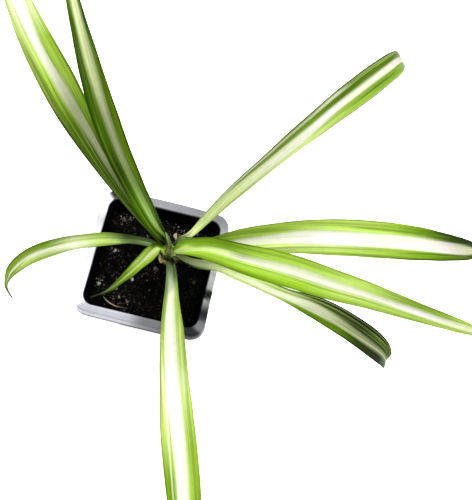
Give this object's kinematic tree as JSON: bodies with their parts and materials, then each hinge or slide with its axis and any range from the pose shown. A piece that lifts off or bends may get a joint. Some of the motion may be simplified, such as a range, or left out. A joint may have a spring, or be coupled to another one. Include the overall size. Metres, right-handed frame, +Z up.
{
  "type": "potted spider plant",
  "caption": "Young variegated spider plant with long arching striped leaves, rooted in soil in a small square nursery pot.",
  "frame": {"origin": "middle of the pot's flat underside, on the surface it stands on", "axes": "+Z up, +X and +Y along the sides of the square pot, -Y toward the viewer, the long leaves lean to the back left and to the right"},
  "size_m": [0.3879, 0.4038, 0.17],
  "materials": {
    "pot": "glossy black thermoformed plastic",
    "soil": "damp dark peat, matte",
    "crown": "pale fleshy stem, satin",
    "leaf": "smooth green leaf with a cream stripe, semi gloss",
    "dry": "dry papery plant tissue, matte",
    "perlite": "crumbly off-white mineral grain, matte",
    "bark": "light brown bark, matte"
  },
  "bodies": {
    "root": {"pot": "pot", "soil": "soil", "crown": "crown", "leaf_back_left_long": "leaf", "leaf_back_left_steep": "leaf", "leaf_back_right": "leaf", "leaf_right_upper": "leaf", "leaf_right_long": "leaf", "leaf_right_lower": "leaf", "leaf_front": "leaf", "leaf_left_narrow": "leaf", "leaf_front_left_short": "leaf", "leaf_young_spear": "leaf", "dry_leaf_scale": "dry", "dry_strand": "dry", "perlite_1": "perlite", "perlite_2": "perlite", "perlite_3": "perlite", "perlite_4": "perlite", "perlite_5": "perlite", "perlite_6": "perlite", "perlite_7": "perlite", "perlite_8": "perlite", "perlite_9": "perlite", "perlite_10": "perlite", "perlite_11": "perlite", "bark_chip_1": "bark", "bark_chip_2": "bark", "bark_chip_3": "bark"}
  },
  "joints": []
}
